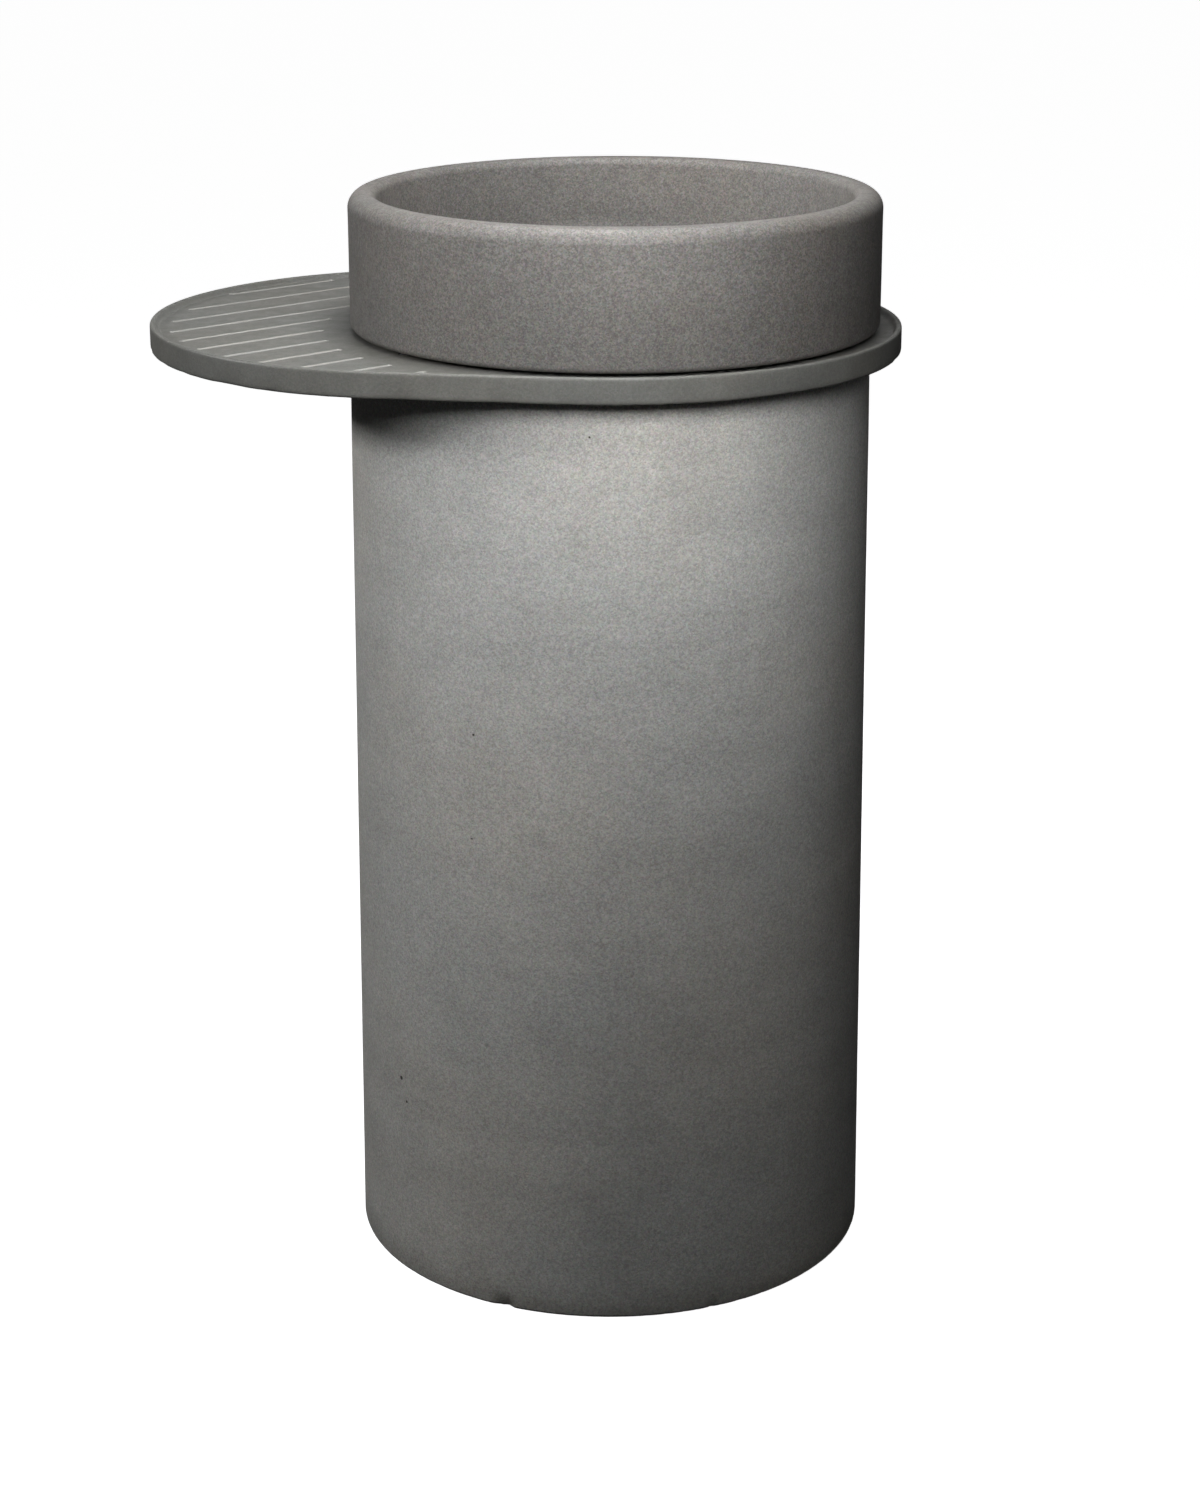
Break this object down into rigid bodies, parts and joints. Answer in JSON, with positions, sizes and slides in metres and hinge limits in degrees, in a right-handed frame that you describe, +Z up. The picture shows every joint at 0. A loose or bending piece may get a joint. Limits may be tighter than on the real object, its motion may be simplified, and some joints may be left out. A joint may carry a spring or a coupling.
{
  "type": "freestanding pedestal basin",
  "caption": "Freestanding concrete pedestal basin: round bowl on a grooved drainer tray and hollow column, with pop-up waste, bottle trap, floor waste pipe and fixings.",
  "frame": {"origin": "on the floor, under the middle of the outline; the pedestal's axis stands at x = +0.06675 m, and the bowl's and drain's axis 4 mm further out, at x = +0.07075 m", "axes": "+Z up; -Y is the front, which the user faces; +Y is the back with the service opening; -X is the end where the drainer tray overhangs"},
  "size_m": [0.5836, 0.45, 0.85],
  "materials": {
    "bowl_concrete": "matte sealed cast concrete, warm grey, fine grain",
    "tray_concrete": "smooth cast concrete, greenish grey",
    "pedestal_concrete": "matte cast concrete, cloudy grey with small pits",
    "sealant": "grey cured sealant and gasket",
    "black_rubber": "moulded black rubber",
    "brass": "machined brass",
    "chrome": "polished chrome plate",
    "steel": "stainless steel, brushed",
    "white_plastic": "moulded white plastic"
  },
  "bodies": {
    "basin": {"bowl": "bowl_concrete", "tray": "tray_concrete", "pedestal": "pedestal_concrete", "bowl_bedding_ring": "sealant", "tray_gasket": "sealant", "tray_insert_1": "brass", "tray_insert_2": "brass", "tray_insert_3": "brass", "tray_insert_4": "brass", "tray_screw_1": "steel", "tray_screw_2": "steel", "tray_screw_3": "steel", "tray_screw_4": "steel", "flange_seal": "black_rubber", "waste_body": "brass", "clamp_washer": "black_rubber", "slip_washer": "white_plastic", "backnut": "brass", "click_cartridge": "chrome", "plug_spring": "steel", "trap_inlet_nut": "white_plastic", "trap_inlet_washer": "black_rubber", "trap_body": "white_plastic", "trap_dip_tube": "white_plastic", "outlet_nut": "white_plastic", "outlet_washer": "black_rubber", "outlet_bend": "white_plastic", "pipe_seal": "black_rubber", "floor_pipe": "white_plastic", "floor_collar": "white_plastic", "floor_bracket_1": "steel", "floor_bracket_2": "steel", "floor_bracket_3": "steel", "bracket_bolt_1": "steel", "bracket_bolt_2": "steel", "bracket_bolt_3": "steel", "wall_insert_1": "brass", "wall_insert_2": "brass", "wall_insert_3": "brass"},
    "drain_plug": {"plug_cap": "bowl_concrete", "plug_seal": "black_rubber", "plug_stem": "chrome"},
    "cup_seal": {"trap_cup_seal": "black_rubber"},
    "cup": {"trap_cup": "white_plastic"}
  },
  "joints": [
    {"name": "plug_lift", "type": "slide", "parent": "basin", "child": "drain_plug", "axis": [0, 0, 1], "range_m": [0, 0.008], "deforming": ["plug_spring"]},
    {"name": "cup_drop", "type": "slide", "parent": "basin", "child": "cup_seal", "axis": [0, 0, -1], "range_m": [0, 0.012]},
    {"name": "cup_turn", "type": "hinge", "parent": "cup_seal", "child": "cup", "pos_m": [0.07075, 0, 0.52], "axis": [0, 0, -1], "range_deg": [0, 1080]}
  ],
  "couplings": [
    {"joint": "cup_drop", "follows": "cup_turn", "m_per_rad": 0.00063662}
  ]
}
